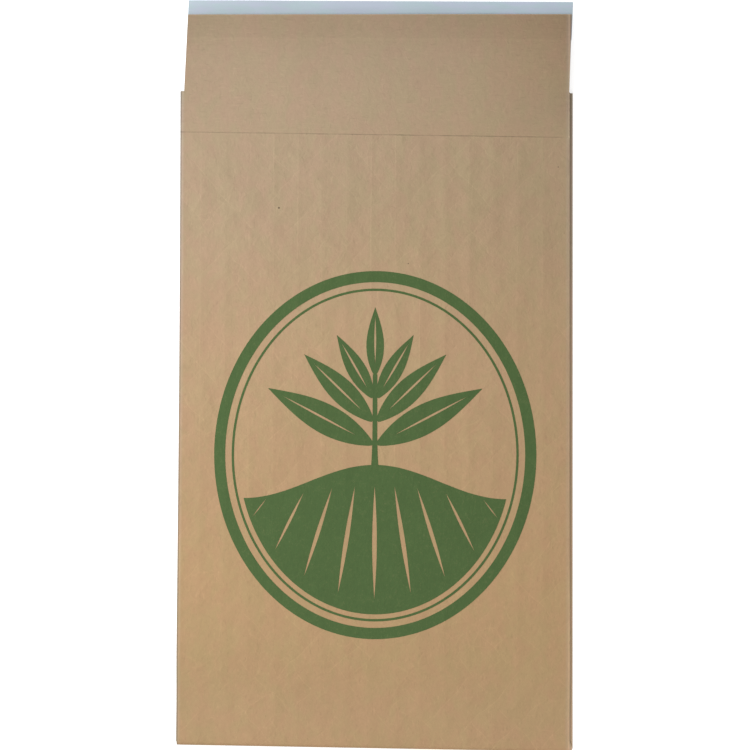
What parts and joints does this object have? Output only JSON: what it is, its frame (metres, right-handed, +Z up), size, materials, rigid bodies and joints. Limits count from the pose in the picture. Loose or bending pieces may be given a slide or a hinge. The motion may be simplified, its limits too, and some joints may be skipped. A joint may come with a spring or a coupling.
{
  "type": "expandable paper mailer",
  "caption": "Flat gusseted kraft paper mailer with a ribbed padded wall, an open flap, a peel-off adhesive closure and a plain one-colour print.",
  "frame": {"origin": "bottom centre of the mailer's box, on the surface that it lies on", "axes": "+Y from the closed bottom towards the flap, +X to the right as the printed front is read, +Z up out of the printed front"},
  "size_m": [0.3056, 0.5822, 0.0102],
  "materials": {
    "kraft": "matt natural kraft, ribbed below the line near the mouth and smooth above it",
    "ink": "matt water-based green ink soaked into the kraft",
    "adhesive": "glossy translucent hot-melt strip",
    "liner": "satin pale blue-grey silicone-coated paper"
  },
  "bodies": {
    "root": {"mailer": "kraft", "adhesive_strip": "adhesive", "release_liner": "liner", "print_frame": "ink", "print_line": "ink", "print_field": "ink"}
  },
  "joints": []
}
